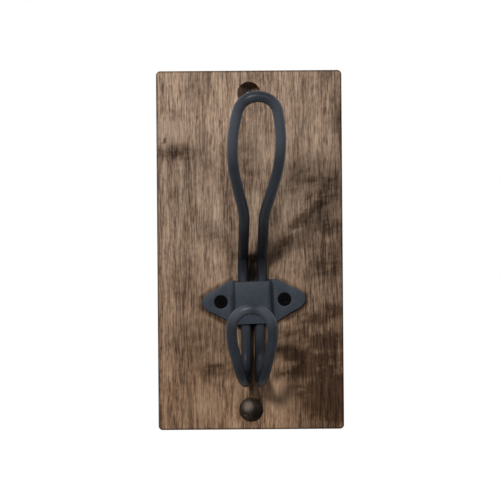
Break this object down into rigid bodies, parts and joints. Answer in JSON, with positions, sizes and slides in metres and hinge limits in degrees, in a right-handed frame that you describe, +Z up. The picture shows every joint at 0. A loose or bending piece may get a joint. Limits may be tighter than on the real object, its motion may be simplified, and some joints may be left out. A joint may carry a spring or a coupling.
{
  "type": "hook board of a hook and ring game",
  "caption": "Upright solid wood board with a double wire hook clipped to its face by a two-screw saddle bracket, and a button plug over the lower wall screw.",
  "frame": {"origin": "centre of the board's back face, which lies on the wall", "axes": "+Z up, +X to the right as seen from in front, +Y into the wall"},
  "size_m": [0.0888, 0.0953, 0.172],
  "materials": {
    "stained_wood": "grey-brown stain, matt clear coat",
    "black_wire": "satin black powder coat",
    "black_stamping": "satin black powder coat",
    "black_screw": "black oxide",
    "stained_plug": "dark stain, satin"
  },
  "bodies": {
    "board": {"backboard": "stained_wood", "wire_hook": "black_wire", "saddle_bracket": "black_stamping", "bracket_screw_left": "black_screw", "bracket_screw_right": "black_screw"},
    "plug": {"button_plug": "stained_plug"}
  },
  "joints": [
    {"name": "plug_pull", "type": "slide", "parent": "board", "child": "plug", "axis": [0, -1, 0], "range_m": [0, 0.008]}
  ]
}
